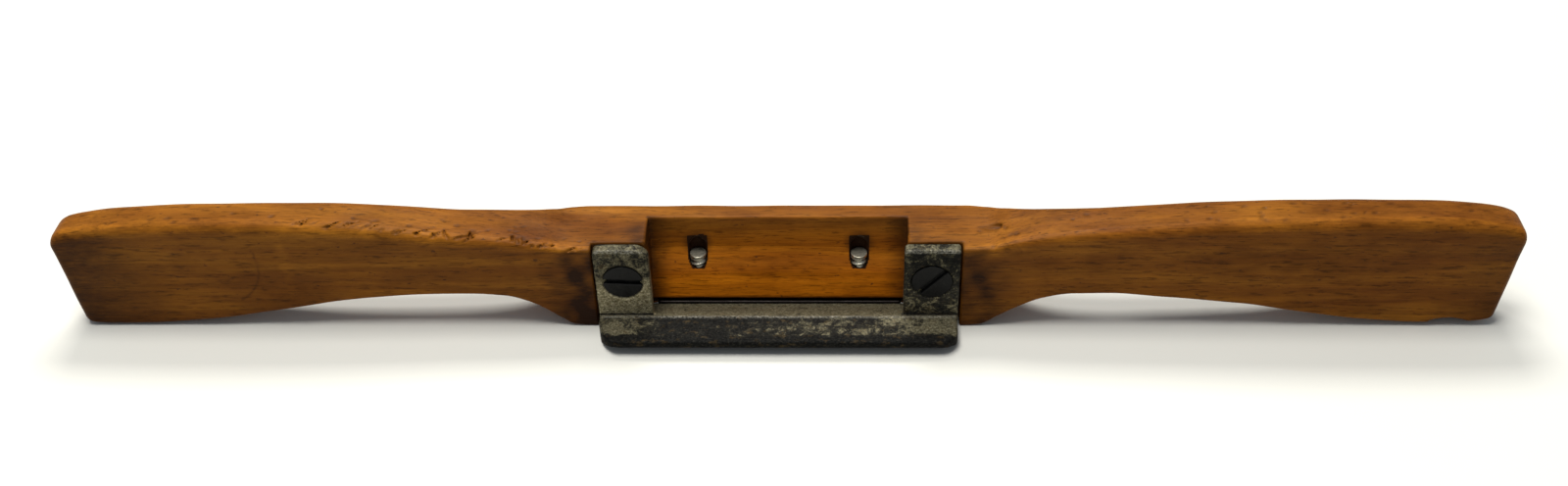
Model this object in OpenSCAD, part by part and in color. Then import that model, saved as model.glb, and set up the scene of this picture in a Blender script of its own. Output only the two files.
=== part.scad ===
// Wooden spokeshave with an adjustable throat plate.
// Millimetres. Origin on the sole, in the middle of the bounding box.
// X runs along the handles, Y points away from the user, Z points up.

/* [Stock] */

// Length of the stock from handle end to handle end
overall_length = 346; // [300:1:380]
// Depth of the middle block, front face to back face
block_depth = 17.6; // [14:0.1:22]
// Height of the middle block
block_height = 24; // [20:0.5:30]
// Bevel on the long arrises of the stock
arris_bevel = 1.6; // [0.4:0.1:2.5]
// Spacing of the flats that follow the curves of the stock
flat_spacing = 5; // [2:0.5:10]

/* [Handle lines, as distance from the middle and height or depth] */

// Top of the block and handle
top_stations = [
    [0, 24], [44, 24], [50, 24.2], [56, 25.6], [64, 27.0], [76, 28.6], [90, 29.9],
    [106, 31.2], [122, 31.8], [134, 32], [146, 31.8], [157, 31], [164, 29.9],
    [168.5, 28.8], [171.5, 26.8], [173, 23]
]; // height above the sole
// Underside of the block and handle
under_stations = [
    [0, 0], [45, 0], [49, 0.2], [52.5, 2.3], [56.5, 5.3], [60.5, 7.6], [66, 9.4],
    [73, 10.2], [82, 10.2], [98, 9.1], [110, 7.4], [124, 4.6], [134, 2.8], [146, 1.3],
    [156, 0.7], [165, 0.5], [169, 1.4], [171.2, 4.5], [173, 20]
]; // height above the sole
// Back of the block and handle
back_stations = [
    [0, 17.6], [45, 17.6], [50, 17.2], [53.5, 15.8], [57.5, 14.4], [63, 13.4],
    [71, 12.6], [83, 12.1], [98, 11.7], [116, 11.2], [136, 10.9], [162, 10.8],
    [169, 10.3], [173, 8.6]
]; // depth behind the front face

/* [Throat] */

// Width of the throat opening
throat_width = 62; // [50:0.5:70]
// Profile of the throat wall, from the sole to the top
throat_stations = [
    [-2, 8.2], [1, 8.2], [4, 8.8], [7, 9.5], [9, 9.9], [10.3, 10.4], [11.8, 11.3],
    [13.3, 12], [15, 12.3], [26, 12.4]
]; // height above the sole, depth behind the front face

/* [Cutter] */

// Length of the blade along the stock
cutter_length = 86; // [70:0.5:100]
// Thickness of the blade
cutter_thickness = 4.4; // [3:0.1:6]
// How far the heel of the blade stands out in front of the stock
heel_reach = 10.4; // [6:0.1:12]
// Height and depth of the slope under the heel
heel_lift = [1.3, 3]; // [0.2:0.1:3]
// How far the cutting edge sits behind the front face
edge_setback = 8; // [6:0.1:9]
// Bevel angle of the blade
bevel_angle = 25; // [20:1:35]
// Radius of the rear corners of the blade
heel_corner_radius = 4.5; // [1:0.5:6]
// Distance between the inner sides of the two lugs
lug_gap = 60.3; // [50:0.1:70]
// Width of each lug
lug_width = 13.2; // [10:0.1:16]
// Thickness of each lug
lug_thickness = 2.65; // [2:0.05:4]
// Height of the lugs above the sole
lug_height = 23.9; // [20:0.1:30]
// Corner radii of the left lug, outer then inner
left_lug_radii = [1.6, 3.4]; // [0.2:0.1:5]
// Corner radii of the right lug, outer then inner
right_lug_radii = [0.8, 1]; // [0.2:0.1:5]

/* [Lug screws] */

// Diameter of the flat heads
lug_head_diameter = 9.7; // [8:0.1:11]
// Diameter of the plain shank
lug_shank_diameter = 4.8; // [4:0.1:6]
// Length of each screw from face to point
lug_screw_length = 14; // [10:0.5:15]
// Spacing of the thread rings
lug_thread_pitch = 1.6; // [1:0.1:2.5]
// Height of the screws above the sole
lug_screw_height = 14.1; // [12:0.1:16]
// Slot directions of the left and right screws
lug_slot_angles = [3, -47]; // [-90:1:90]

/* [Throat plate] */

// Length of the plate along the stock
plate_length = 59.8; // [50:0.1:70]
// Thickness of the plate
plate_thickness = 0.9; // [0.9:0.1:4]
// How far the plate can rise from flush with the sole
plate_travel = 0.4; // [0:0.1:1.5]

/* [Adjusting screws] */

// Spacing of the two screws
adjuster_spacing = 39.2; // [30:0.1:50]
// Depth of the screw axes behind the front face
adjuster_setback = 12.1; // [11:0.1:14]
// Outside diameter of the thread
adjuster_diameter = 4; // [3:0.1:5]
// Depth of the thread
adjuster_thread_depth = 0.45; // [0.2:0.05:0.8]
// Thread pitch
adjuster_pitch = 1.5; // [1:0.1:2]
// Height of the screw tips above the sole
adjuster_tip_height = 13.3; // [10:0.1:16]
// Diameter of the countersunk heads
adjuster_head_diameter = 5.2; // [5:0.1:5.4]
// Slot directions of the left and right screws
adjuster_slot_angles = [25, -40]; // [-90:1:90]
// Height of the blind end of each bore
bore_top = 18.1; // [16:0.1:21]

/* [Fits] */

// Running gap around the adjusting screws, on the radius
running_gap = 0.06; // [0.02:0.01:0.1]
// Gap around the lugs where they are let into the wood
inlet_gap = 0.45; // [0.1:0.05:1]
// Small gap that keeps fixed faces apart
fixed_gap = 0.05; // [0.02:0.01:0.1]
// Gap at each end of the throat plate
plate_end_gap = 0.15; // [0.05:0.05:0.5]

/* [Hidden] */

wood = [0.72, 0.45, 0.18];
forged_steel = [0.42, 0.42, 0.38];
screw_steel = [0.22, 0.22, 0.22];
brass = [0.70, 0.58, 0.32];

overlap = 1;
cutter_depth = heel_reach + edge_setback;
front_y = heel_reach - (heel_reach + block_depth) / 2;
back_y = front_y + block_depth;
heel_y = front_y - heel_reach;
edge_y = front_y + edge_setback;
arris_y = edge_y - cutter_thickness / tan(bevel_angle);
half_length = overall_length / 2;
lug_centre = (lug_gap + lug_width) / 2;
mouth_y = front_y + throat_stations[0][1];
plate_depth = back_y - mouth_y;
adjuster_y = front_y + adjuster_setback;
screw_countersink = (lug_head_diameter - lug_shank_diameter) / 2;
adjuster_countersink = (adjuster_head_diameter - adjuster_diameter) / 2;
plate_seat = plate_thickness + plate_travel + fixed_gap;
rim_height = 0.2;

// ---- curves -------------------------------------------------------------

// One point of a smooth curve through b and c, with a and d as neighbours.
function between(a, b, c, d, t) =
    0.5 * (2 * b + (c - a) * t
        + (2 * a - 5 * b + 4 * c - d) * pow(t, 2)
        + (3 * b - a - 3 * c + d) * pow(t, 3));

// A smooth curve through a list of stations, four points to each span.
function curve(stations) =
    let (end = len(stations) - 1)
    concat(
        [for (i = [0:end - 1]) for (t = [0:0.25:0.75])
            between(stations[max(i - 1, 0)], stations[i],
                stations[i + 1], stations[min(i + 2, end)], t)],
        [stations[end]]
    );

top_curve = curve(top_stations);
under_curve = curve(under_stations);
back_curve = curve(back_stations);

function top_at(x) = lookup(abs(x), top_curve);
function under_at(x) = lookup(abs(x), under_curve);
function back_at(x) = front_y + lookup(abs(x), back_curve);

// Places along the right half where the flats meet, closer near the end.
right_places = concat(
    [for (x = [45:flat_spacing:half_length - 8]) x],
    [half_length - 5, half_length - 3, half_length - 2, half_length - 1, half_length]
);
places = concat([for (i = [len(right_places) - 1:-1:0]) -right_places[i]], right_places);

// Closed outline between an upper and a lower list of heights over the places.
module band(upper, lower) {
    last = len(places) - 1;
    polygon(concat(
        [for (i = [0:last]) [places[i], lower[i]]],
        [for (i = [last:-1:0]) [places[i], upper[i]]]
    ));
}

// ---- stock --------------------------------------------------------------

// Side view of the stock, drawn through its whole depth.
module side_prism() {
    translate([0, back_y + overlap, 0])
        rotate([90, 0, 0])
            linear_extrude(block_depth + 2 * overlap)
                band([for (x = places) top_at(x)], [for (x = places) under_at(x)]);
}

// Plan of the stock, drawn through its whole height.
module plan_prism() {
    translate([0, 0, -overlap])
        linear_extrude(40)
            band([for (x = places) back_at(x)], [for (x = places) front_y]);
}

// Bevels on the top front and bottom back arrises, sloping up to the back.
module rising_bevels() {
    slant = sqrt(0.5);
    rotate([45, 0, 0])
        translate([0, 60, 0])
            rotate([90, 0, 0])
                linear_extrude(120)
                    band(
                        [for (x = places) (top_at(x) - arris_bevel - front_y) * slant],
                        [for (x = places) (under_at(x) + arris_bevel - back_at(x)) * slant]
                    );
}

// Bevels on the top back and bottom front arrises, sloping down to the back.
module falling_bevels() {
    slant = sqrt(0.5);
    rotate([-45, 0, 0])
        translate([0, 60, 0])
            rotate([90, 0, 0])
                linear_extrude(120)
                    band(
                        [for (x = places) (top_at(x) - arris_bevel + back_at(x)) * slant],
                        [for (x = places) (under_at(x) + arris_bevel * 0.5 + front_y) * slant]
                    );
}

module stock_blank() {
    intersection() {
        side_prism();
        plan_prism();
        rising_bevels();
        falling_bevels();
    }
}

// The throat: open to the front and the top, with a curved wall behind.
module throat_space() {
    wall = curve(throat_stations);
    translate([-throat_width / 2, 0, 0])
        rotate([90, 0, 90])
            linear_extrude(throat_width)
                polygon(concat(
                    [[front_y - overlap, -overlap]],
                    [for (p = wall) [front_y + p[1], p[0]]],
                    [[front_y - overlap, wall[len(wall) - 1][0]]]
                ));
}

// Room under the stock for the blade.
module cutter_space() {
    width = cutter_length + 2 * inlet_gap;
    translate([-width / 2, front_y - overlap, -overlap])
        cube([width, throat_stations[0][1] + overlap, cutter_thickness + overlap + fixed_gap]);
}

// Room in the front face for the two lugs.
module lug_space() {
    width = lug_width + inlet_gap + overlap;
    for (side = [-1, 1])
        translate([side * (lug_gap / 2 - overlap + width / 2) - width / 2, front_y - overlap, -overlap])
            cube([width, lug_thickness + inlet_gap + overlap, 40]);
}

// Channel under the stock for the throat plate, open to the mouth and the back.
module plate_space() {
    width = plate_length + 2 * plate_end_gap;
    translate([-width / 2, mouth_y - overlap, -overlap])
        cube([width, plate_depth + 2 * overlap, plate_seat + overlap]);
}

module adjuster_bores() {
    for (side = [-1, 1])
        translate([side * adjuster_spacing / 2, adjuster_y, 0])
            cylinder(d = adjuster_diameter + 2 * running_gap, h = bore_top, $fn = 48);
}

module lug_screw_bores() {
    for (side = [-1, 1])
        translate([side * lug_centre, front_y, lug_screw_height])
            rotate([-90, 0, 0])
                cylinder(d = lug_shank_diameter + 2 * fixed_gap,
                    h = lug_screw_length + 0.5, $fn = 48);
}

module stock() {
    color(wood)
        difference() {
            stock_blank();
            throat_space();
            cutter_space();
            lug_space();
            plate_space();
            adjuster_bores();
            lug_screw_bores();
        }
}

// ---- cutter -------------------------------------------------------------

// Blade outline seen from above, with rounded corners at the heel.
module blade_plan() {
    r = heel_corner_radius;
    half = cutter_length / 2;
    translate([-half, heel_y + r])
        square([cutter_length, cutter_depth - r]);
    translate([-half + r, heel_y])
        square([cutter_length - 2 * r, cutter_depth]);
    for (side = [-1, 1])
        translate([side * (half - r), heel_y + r])
            circle(r = r, $fn = 64);
}

// Blade section: flat sole, bevel rising from the edge, upright heel with a slope under it.
module blade_section() {
    ease = 0.6;
    polygon([
        [edge_y, 0],
        [arris_y, cutter_thickness],
        [heel_y + ease, cutter_thickness],
        [heel_y, cutter_thickness - ease],
        [heel_y, heel_lift[0]],
        [heel_y + heel_lift[1], 0]
    ]);
}

module blade() {
    intersection() {
        translate([-cutter_length / 2, 0, 0])
            rotate([90, 0, 90])
                linear_extrude(cutter_length)
                    blade_section();
        translate([0, 0, -overlap])
            linear_extrude(cutter_thickness + 2 * overlap)
                blade_plan();
    }
}

// Front view of a lug; its two top corners are rounded by the outer and inner radii.
module lug_outline(radii) {
    foot = 1.2;
    inner = lug_gap / 2;
    difference() {
        translate([inner, foot])
            square([lug_width, lug_height - foot]);
        translate([inner + lug_width - radii[0], lug_height - radii[0]])
            square(radii[0] + overlap);
        translate([inner - overlap, lug_height - radii[1]])
            square(radii[1] + overlap);
    }
    translate([inner + lug_width - radii[0], lug_height - radii[0]])
        circle(r = radii[0], $fn = 48);
    translate([inner + radii[1], lug_height - radii[1]])
        circle(r = radii[1], $fn = 48);
}

// One lug, standing on the blade and flush with the front face of the stock.
module lug(side, radii) {
    translate([0, front_y + lug_thickness, 0])
        rotate([90, 0, 0])
            linear_extrude(lug_thickness)
                mirror([side < 0 ? 1 : 0, 0])
                    lug_outline(radii);
}

// Countersunk hole for a lug screw, drawn from the front face.
module lug_hole(side) {
    translate([side * lug_centre, front_y, lug_screw_height])
        rotate([-90, 0, 0])
            rotate_extrude($fn = 64)
                polygon([
                    [0, -overlap],
                    [lug_head_diameter / 2 + fixed_gap, -overlap],
                    [lug_head_diameter / 2 + fixed_gap, 0.25],
                    [lug_shank_diameter / 2 + fixed_gap, screw_countersink + 0.25],
                    [lug_shank_diameter / 2 + fixed_gap, lug_thickness + overlap],
                    [0, lug_thickness + overlap]
                ]);
}

module cutter() {
    color(forged_steel)
        difference() {
            union() {
                blade();
                lug(-1, left_lug_radii);
                lug(1, right_lug_radii);
            }
            lug_hole(-1);
            lug_hole(1);
        }
}

// ---- lug screws ---------------------------------------------------------

// Half outline of a wood screw: flat head, plain shank, rings, point.
function lug_screw_outline() =
    let (
        head = lug_head_diameter / 2,
        shank = lug_shank_diameter / 2,
        root = shank * 0.72,
        start = screw_countersink + 2.5,
        turns = floor((lug_screw_length - 3 - start) / lug_thread_pitch)
    )
    concat(
        [[0, 0], [head, 0], [head, 0.25], [shank, screw_countersink + 0.25], [shank, start]],
        [for (i = [0:turns - 1]) for (p = [[root, 0.35], [root, 0.75], [shank, 1.15], [shank, 1.25]])
            [p[0], start + (i + p[1] / 1.25 * 0.95) * lug_thread_pitch]],
        [[root, lug_screw_length - 2.6], [0, lug_screw_length]]
    );

module lug_screw(side, slot_angle) {
    color(screw_steel)
        translate([side * lug_centre, front_y, lug_screw_height])
            rotate([-90, 0, 0])
                difference() {
                    rotate_extrude($fn = 64)
                        polygon(lug_screw_outline());
                    rotate([0, 0, slot_angle])
                        translate([-lug_head_diameter, -0.5, -overlap])
                            cube([2 * lug_head_diameter, 1, overlap + 1.1]);
                }
}

module left_lug_screw() {
    lug_screw(-1, lug_slot_angles[0]);
}

module right_lug_screw() {
    lug_screw(1, lug_slot_angles[1]);
}

// ---- throat plate -------------------------------------------------------

module throat_plate() {
    hole = adjuster_diameter / 2 + running_gap;
    rim = adjuster_head_diameter / 2 + running_gap;
    color(brass)
        difference() {
            translate([-plate_length / 2, mouth_y, 0])
                cube([plate_length, plate_depth - 0.2, plate_thickness]);
            for (side = [-1, 1])
                translate([side * adjuster_spacing / 2, adjuster_y, 0])
                    rotate_extrude($fn = 64)
                        polygon([
                            [0, -overlap],
                            [rim, -overlap],
                            [rim, rim_height],
                            [hole, rim_height + adjuster_countersink],
                            [hole, plate_thickness + overlap],
                            [0, plate_thickness + overlap]
                        ]);
        }
}

// ---- adjusting screws ---------------------------------------------------

// Half outline of an adjusting screw: flush head, plain neck, thread rings, flat tip.
function adjuster_outline() =
    let (
        head = adjuster_head_diameter / 2,
        crest = adjuster_diameter / 2,
        root = crest - adjuster_thread_depth,
        turns = floor((adjuster_tip_height - plate_thickness - 1) / adjuster_pitch),
        start = adjuster_tip_height - turns * adjuster_pitch
    )
    concat(
        [[0, 0], [head, 0], [head, rim_height - running_gap / 2],
            [crest, rim_height + adjuster_countersink - running_gap / 2]],
        [for (i = [0:turns - 1]) for (p = [[crest, 0], [root, 0.35], [root, 0.55], [crest, 0.9]])
            [p[0], start + (i + p[1]) * adjuster_pitch]],
        [[crest, adjuster_tip_height], [0, adjuster_tip_height]]
    );

module adjusting_screw(side, slot_angle) {
    color(brass)
        translate([side * adjuster_spacing / 2, adjuster_y, 0])
            difference() {
                rotate_extrude($fn = 64)
                    polygon(adjuster_outline());
                rotate([0, 0, slot_angle])
                    translate([-adjuster_head_diameter, -0.4, -overlap])
                        cube([2 * adjuster_head_diameter, 0.8, overlap + 0.7]);
            }
}

module left_adjusting_screw() {
    adjusting_screw(-1, adjuster_slot_angles[0]);
}

module right_adjusting_screw() {
    adjusting_screw(1, adjuster_slot_angles[1]);
}

stock();
cutter();
left_lug_screw();
right_lug_screw();
throat_plate();
left_adjusting_screw();
right_adjusting_screw();
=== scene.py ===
"""Looks of a wooden spokeshave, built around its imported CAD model.

Every visible piece is a closed surface taken from a distance field: a function of x, y and z,
in millimetres, that is negative inside the piece. The frame and the scene are in metres.
"""

import math

import bpy
import numpy as np
from mathutils import Matrix, Vector


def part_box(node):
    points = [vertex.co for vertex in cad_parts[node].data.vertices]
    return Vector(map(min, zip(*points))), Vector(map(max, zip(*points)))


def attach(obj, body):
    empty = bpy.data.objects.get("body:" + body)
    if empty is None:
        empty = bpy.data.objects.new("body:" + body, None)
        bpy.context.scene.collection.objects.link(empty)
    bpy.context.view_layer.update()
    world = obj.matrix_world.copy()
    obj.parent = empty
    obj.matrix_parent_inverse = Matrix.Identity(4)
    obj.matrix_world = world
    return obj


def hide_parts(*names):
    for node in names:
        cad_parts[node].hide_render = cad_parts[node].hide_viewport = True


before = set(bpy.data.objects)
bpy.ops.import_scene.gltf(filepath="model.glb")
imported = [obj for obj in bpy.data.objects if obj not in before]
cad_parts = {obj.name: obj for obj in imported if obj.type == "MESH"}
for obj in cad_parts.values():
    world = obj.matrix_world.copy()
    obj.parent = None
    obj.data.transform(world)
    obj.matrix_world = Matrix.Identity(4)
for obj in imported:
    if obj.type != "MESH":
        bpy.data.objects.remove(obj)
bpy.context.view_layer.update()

MM = 1000.0
SEED = 7


def box_mm(node):
    """Lowest and highest corners of a CAD node, in millimetres."""
    low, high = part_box(node)
    return np.array(low) * MM, np.array(high) * MM


STOCK_LOW, STOCK_HIGH = box_mm("stock")
CUTTER_LOW, CUTTER_HIGH = box_mm("cutter")
PLATE_LOW, PLATE_HIGH = box_mm("throat_plate")
LUG_SCREW_LOW, LUG_SCREW_HIGH = box_mm("right_lug_screw")
ADJUSTER_LOW, ADJUSTER_HIGH = box_mm("right_adjusting_screw")

FRONT = STOCK_LOW[1]
BACK = STOCK_HIGH[1]
HALF_LENGTH = STOCK_HIGH[0]

# Middle block, throat and handles
BLOCK_HEIGHT = 24.0
BLOCK_HALF = 46.0         # the handles begin this far from the middle
HANDLE_BLEND = 30.0       # length over which the edges grow to the handles' radii
# Edge radius at the block, then how much it grows along the blend.
TOP_FRONT_EDGE = (1.0, 1.5)
TOP_BACK_EDGE = (1.0, 2.2)
UNDER_FRONT_EDGE = (0.5, 0.4)
UNDER_BACK_EDGE = (1.0, 2.0)
END_INSET = 0.4
END_SLOPE = 0.08          # how far each end leans in, below END_BREAK
END_BREAK = 25.0
END_ROUND = 1.8
THROAT_HALF = 31.0
THROAT_FLARE = 0.004
BELOW_SOLE = 2.0          # cuts through the sole go on this far
WAVE_HEIGHT = 0.07        # hand-shaved waves in the wood's faces
WAVE_LENGTH = 14
WOOD_INSET = 0.05         # takes back most of the waves' height
DENT_ROUND = 0.15

# Cutter and its seat
LUG_INNER = 30.15
LUG_OUTER = 43.35
LUG_MIDDLE = (LUG_INNER + LUG_OUTER) / 2
LUG_THICKNESS = 2.65
LUG_FOOT = 1.5            # the lugs start inside the blade, at this height
# Radii of each lug's outer and inner top corners
LUG_CORNERS = {-1: (1.6, 3.4), 1: (0.8, 1.0)}
INLET_GAP = 0.4
SEAT_GAP = 0.05
BLADE_THICKNESS = 4.4
BLADE_HALF = 43.0
BLADE_ROUND = 0.7
BLADE_FACE = 3.2          # lower than this, everything belongs to the blade
# The bevel is drawn to a sharper edge than it keeps, because rounding takes the tip back.
SHARP_SETBACK = 8.55
SHARP_ROUND = 0.12
BEVEL_ANGLE = math.radians(24)
EDGE_Y = FRONT + SHARP_SETBACK
ARRIS_Y = EDGE_Y - BLADE_THICKNESS / math.tan(BEVEL_ANGLE)
# Height and depth of the slope under the heel
HEEL_LIFT = 2.5
HEEL_SLOPE = 4.6
# Corner radius of the heel on the right, and its width and depth on the left
HEEL_RADIUS = 4.5
LEFT_HEEL_CORNER = (5.2, 8.0)
PLATE_TRAVEL = 0.4
PLATE_SIDE_GAP = 0.15
PLATE_ROUND = 0.25
MOUTH_LIP = 0.4           # the plate's edge reaches this far past its CAD box, to the blade

# Screws
HEAD_RIM = 0.25           # straight part of a countersunk head
LUG_SCREW_X = (LUG_SCREW_LOW[0] + LUG_SCREW_HIGH[0]) / 2
LUG_SCREW_Z = (LUG_SCREW_LOW[2] + LUG_SCREW_HIGH[2]) / 2
LUG_HEAD_RADIUS = (LUG_SCREW_HIGH[0] - LUG_SCREW_LOW[0]) / 2
LUG_HEAD_GAP = 0.2
LUG_SHANK_RADIUS = 2.4
LUG_THREAD_PITCH = 1.6
LUG_THREAD_START = 5.2
LUG_TAPER = 5.0
LUG_SLOT_ANGLES = {-1: math.radians(-3), 1: math.radians(47)}
# Half width, then depth of each kind of slot
LUG_SLOT = (0.65, 1.15)
ADJUSTER_SLOT = (0.4, 0.7)
ADJUSTER_SLOT_ANGLES = {-1: math.radians(25), 1: math.radians(-40)}
ADJUSTER_X = (ADJUSTER_LOW[0] + ADJUSTER_HIGH[0]) / 2
ADJUSTER_Y = (ADJUSTER_LOW[1] + ADJUSTER_HIGH[1]) / 2
ADJUSTER_HEAD_RADIUS = (ADJUSTER_HIGH[0] - ADJUSTER_LOW[0]) / 2
ADJUSTER_TOP = ADJUSTER_HIGH[2]
ADJUSTER_RADIUS = 2.0
ADJUSTER_PITCH = 1.5
ADJUSTER_THREAD_START = 4.2
ADJUSTER_DISC = 0.55      # flat end above the last turn
ADJUSTER_GAP = 0.08
THREAD_DEPTH = 0.6
BORE_RADIUS = 2.06
BORE_GAP = 0.1
BORE_TOP = 18.1
BORE_LIP = 9.7            # lower end of each bore's opening into the throat

# Lines of the handles: distance from the middle, then height above the sole.
# The two handles were shaved by hand, so they differ a little.
LEFT_TOP = [(0, 24), (45, 24), (50, 24.1), (56, 25.3), (63, 26.4), (75, 27.7), (87, 29.1),
            (102, 30.8), (114, 31.4), (130, 31.8), (146, 31.5), (157, 30.7), (164, 29.8),
            (169, 28.9), (172, 27.2), (175, 24)]
RIGHT_TOP = [(0, 24), (45, 24), (49, 24.1), (56, 26.0), (64, 27.6), (77, 29.1), (90, 30.1),
             (107, 31.2), (123, 31.8), (140, 31.9), (154, 31.6), (163, 30.9), (168, 30.1),
             (172, 28.4), (175, 25)]
LEFT_UNDER = [(0, 0), (46, 0), (49.4, 0.3), (52.5, 2.3), (56.4, 5.4), (60.4, 7.8), (65.3, 9.4),
              (73.3, 10.0), (85.7, 9.7), (98, 8.8), (115, 6.0), (132.6, 2.7), (151.7, 0.7),
              (163, 0.4), (168, 0.7), (172, 2.5), (175, 9)]
RIGHT_UNDER = [(0, 0), (45.5, 0), (48.8, 0.4), (53.1, 3.2), (57.4, 6.0), (63.4, 8.8),
               (70.4, 10.1), (79.2, 10.1), (92.5, 8.9), (110.5, 6.9), (124, 4.4),
               (138, 2.1), (154, 0.9), (165, 1.2), (170, 2.2), (175, 8)]
# Distance from the middle, then thickness from the front face to the back.
LEFT_THICKNESS = [(0, 17.6), (45, 17.6), (50, 17.2), (53.5, 15.9), (57.5, 14.8), (63, 14.0),
                  (71, 13.4), (83, 12.7), (98, 12.0), (116, 11.1), (136, 10.5), (160, 10.4),
                  (175, 9.8)]
RIGHT_THICKNESS = [(0, 17.6), (45, 17.6), (50, 16.9), (53.5, 15.3), (57.5, 13.9), (63, 12.6),
                   (71, 11.8), (83, 11.5), (98, 11.5), (116, 11.2), (136, 11.0), (160, 10.9),
                   (175, 10.2)]
# Height above the sole, then depth of the throat wall behind the front face.
THROAT_WALL = [(-2, 8.2), (1, 8.2), (4, 8.8), (7, 9.5), (9, 9.9), (10.3, 10.4), (11.8, 11.3),
               (13.3, 12.1), (15, 12.4), (26, 12.5)]
# Place along the blade, then how dark the patina on its top face is.
BLADE_PATINA = [(-44, 0.44), (-37, 0.40), (-31, 0.56), (-26, 0.80), (-8, 0.70), (2, 0.60),
                (20, 0.56), (30, 0.44), (37, 0.36), (44, 0.36)]
# Patina at the bottom of each lug, then how much darker it gets towards the top.
LEFT_LUG_PATINA = (0.06, 0.38)
RIGHT_LUG_PATINA = (0.60, 0.04)
LUG_TOP_PATINA = 0.44
BEVEL_PATINA = 0.26
# Stains on the front face: place along the tool, reach, then strength.
LUG_STAINS = [(-46, 9, 1.7), (46, 9, 1.5)]
END_STAINS = [(-173, 24, 1.15), (173, 16, 0.60)]
# Stains at the throat's top corners: x, y, reach along x, reach along y, then strength.
CORNER_STAINS = [(-33, 2.5, 3.2, 6, 1.3), (33, 1.0, 2.2, 4, 0.9)]
# A curved scratch on the left handle: its centre along x and z, and its radius.
SCRATCH_CENTRE = (-137, 20)
SCRATCH_RADIUS = 13.5
PALE_BAND_X = -117


# ---- curves and noise ----------------------------------------------------

def curve(stations, at):
    """Smooth monotone curve through the stations, read at an array of places."""
    s = np.array(stations, float)
    width = np.diff(s[:, 0])
    slope = np.diff(s[:, 1]) / width
    product = slope[:-1] * slope[1:]
    same_way = product > 0
    inner = np.where(same_way, 2 * product / np.where(same_way, slope[:-1] + slope[1:], 1), 0)
    tangent = np.concatenate([[slope[0]], inner, [slope[-1]]])
    i = np.clip(np.searchsorted(s[:, 0], at) - 1, 0, len(width) - 1)
    t = np.clip((at - s[i, 0]) / width[i], 0, 1)
    h = width[i]
    return ((1 + 2 * t) * (1 - t) ** 2 * s[i, 1] + t * (1 - t) ** 2 * h * tangent[i]
            + t * t * (3 - 2 * t) * s[i + 1, 1] - t * t * (1 - t) * h * tangent[i + 1])


def ripple(x, y, z, wavelength, seed):
    """Smooth noise between about -1 and 1 from a few crossed waves."""
    rng = np.random.default_rng(seed)
    total = 0
    for _ in range(6):
        direction = rng.normal(size=3)
        direction *= 2 * math.pi / (wavelength * np.linalg.norm(direction))
        direction *= rng.uniform(0.7, 1.5)
        total = total + np.sin(x * direction[0] + y * direction[1] + z * direction[2]
                               + rng.uniform(0, 2 * math.pi))
    return total / 3.5


# ---- distance fields -----------------------------------------------------

def both(a, b, r):
    """The space inside a and b, with edges rounded to radius r."""
    u = np.maximum(a + r, 0)
    v = np.maximum(b + r, 0)
    return np.minimum(np.maximum(a, b), -r) + np.hypot(u, v)


def without(a, b, r):
    """The space inside a but not b, with edges rounded to radius r."""
    return both(a, -b, r)


def slab(value, low, high):
    """Space between two parallel planes."""
    return np.maximum(low - value, value - high)


def block(x, y, z, low, high, r):
    """Box with rounded edges."""
    centre = (np.array(low) + high) / 2
    half = (np.array(high) - low) / 2 - r
    q = [np.abs(v - c) - h for v, c, h in zip((x, y, z), centre, half)]
    outside = np.sqrt(sum(np.maximum(v, 0) ** 2 for v in q))
    return outside + np.minimum(np.maximum(np.maximum(q[0], q[1]), q[2]), 0) - r


def ball(x, y, z, centre, radii):
    """Ellipsoid."""
    k = np.sqrt(sum(((v - c) / r) ** 2 for v, c, r in zip((x, y, z), centre, radii)))
    return (k - 1) * min(radii)


# ---- surface from a field ------------------------------------------------

def surface(field, xs, ys, zs):
    """Vertices and four-sided faces of the zero surface of a field over a box of cells."""
    values = field(*np.meshgrid(xs, ys, zs, indexing="ij", sparse=True))
    values = np.broadcast_to(values, (len(xs), len(ys), len(zs)))
    inside = values < 0
    axes = (xs, ys, zs)
    cells = tuple(n - 1 for n in values.shape)
    total = np.zeros(cells + (3,), np.float32)
    count = np.zeros(cells, np.float32)
    crossings = []
    for axis in range(3):
        low = [slice(None)] * 3
        high = [slice(None)] * 3
        low[axis] = slice(None, -1)
        high[axis] = slice(1, None)
        low, high = tuple(low), tuple(high)
        where = np.argwhere(inside[low] != inside[high])
        a = values[low][tuple(where.T)]
        b = values[high][tuple(where.T)]
        t = a / (a - b)
        point = np.stack([axes[k][where[:, k]] for k in range(3)], 1).astype(np.float64)
        point[:, axis] += t * (axes[axis][where[:, axis] + 1] - axes[axis][where[:, axis]])
        around = [k for k in range(3) if k != axis]
        ring = []
        for du, dv in ((0, 0), (-1, 0), (-1, -1), (0, -1)):
            cell = where.copy()
            cell[:, around[0]] += du
            cell[:, around[1]] += dv
            keep = np.all((cell >= 0) & (cell < cells), axis=1)
            index = tuple(cell[keep].T)
            np.add.at(total, index, point[keep])
            np.add.at(count, index, 1)
            ring.append(cell)
        flip = (a < 0) != (axis == 1)
        crossings.append((ring, flip))
    active = count > 0
    number = np.full(cells, -1)
    number[active] = np.arange(active.sum())
    vertices = total[active] / count[active][:, None]
    faces = []
    for ring, flip in crossings:
        corners = np.stack([number[tuple(cell.T)] for cell in ring], 1)
        faces.append(np.where(flip[:, None], corners, corners[:, ::-1]))
    return settle(field, vertices.astype(float)), np.concatenate(faces)


def gradient(field, v):
    """Slope of the field at each vertex."""
    step = 0.03
    return np.stack([
        (field(*(v + d).T) - field(*(v - d).T)) / (2 * step) for d in np.eye(3) * step
    ], 1)


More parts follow.
